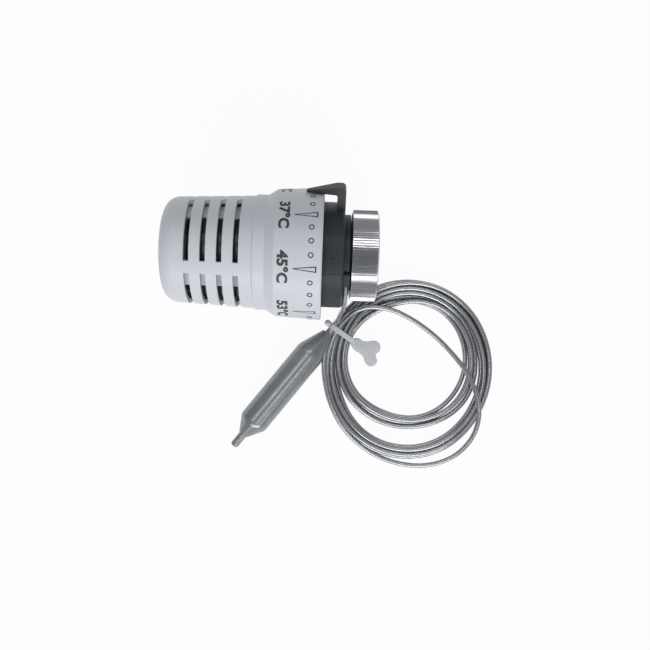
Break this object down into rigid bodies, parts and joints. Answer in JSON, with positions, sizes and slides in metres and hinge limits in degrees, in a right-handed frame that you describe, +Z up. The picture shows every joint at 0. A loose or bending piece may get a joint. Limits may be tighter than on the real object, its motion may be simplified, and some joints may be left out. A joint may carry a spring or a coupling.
{
  "type": "thermostatic radiator head with remote sensing bulb",
  "caption": "Radiator valve head: turning handwheel with a temperature dial, union nut, and a capillary tube coiled under a tie and ending in a sensing bulb.",
  "frame": {"origin": "centre of the neck's seat face, which meets the valve body, on the head's axis", "axes": "+X along the head's axis out of the union nut; +Z up from the surface it lies on"},
  "size_m": [0.1344, 0.1114, 0.0504],
  "materials": {
    "white_plastic": "fine satin moulding",
    "charcoal_plastic": "satin moulding",
    "black_plastic": "polished moulding",
    "nickel_plate": "bright nickel over a fine straight knurl",
    "capillary_metal": "dull tinned tube",
    "bulb_metal": "drawn, lengthwise sheen",
    "spring_steel": "bright drawn wire",
    "capsule_brass": "bright drawn sheet",
    "tie_plastic": "milky, slightly translucent"
  },
  "bodies": {
    "base": {"base": "charcoal_plastic", "guide_cage": "white_plastic", "handwheel_snap_ring": "spring_steel", "nut_snap_ring": "spring_steel", "capillary_gland": "charcoal_plastic", "capillary_lead": "capillary_metal", "capillary_coil": "capillary_metal", "capillary_tail": "capillary_metal", "sensor_bulb": "bulb_metal", "bulb_fill_stub": "bulb_metal", "coil_tie": "tie_plastic"},
    "handwheel": {"handwheel": "white_plastic"},
    "union_nut": {"union_nut": "nickel_plate"},
    "carriage": {"carriage_cup": "black_plastic", "capsule_retaining_ring": "spring_steel", "overtravel_spring": "spring_steel"},
    "capsule": {"capsule_can": "capsule_brass", "capsule_rear_plate": "capsule_brass", "spring_washer": "spring_steel", "bellows": "capsule_brass", "capillary_pigtail": "capillary_metal"},
    "push_rod": {"push_rod": "black_plastic", "push_rod_pin": "spring_steel", "return_spring": "spring_steel"}
  },
  "joints": [
    {"name": "handwheel_turn", "type": "hinge", "parent": "base", "child": "handwheel", "pos_m": [-0.04, 0, 0], "axis": [-1, 0, 0], "range_deg": [-54.6, 227.1]},
    {"name": "nut_spin", "type": "hinge", "parent": "base", "child": "union_nut", "pos_m": [0, 0, 0], "axis": [1, 0, 0], "continuous": true},
    {"name": "carriage_travel", "type": "slide", "parent": "base", "child": "carriage", "axis": [1, 0, 0], "range_m": [-0.00341, 0.00082], "deforming": ["return_spring", "capillary_pigtail"]},
    {"name": "overtravel", "type": "slide", "parent": "carriage", "child": "capsule", "axis": [1, 0, 0], "range_m": [-0.0025, 0], "stiffness_N_per_m": 3000, "springref_m": 0.004, "deforming": ["overtravel_spring", "return_spring", "capillary_pigtail"]},
    {"name": "bellows_stroke", "type": "slide", "parent": "capsule", "child": "push_rod", "axis": [1, 0, 0], "range_m": [0, 0.0035], "stiffness_N_per_m": 1500, "springref_m": -0.003, "deforming": ["bellows", "return_spring"]}
  ],
  "couplings": [
    {"joint": "handwheel_turn", "follows": "carriage_travel", "rad_per_m": -1163.6}
  ]
}
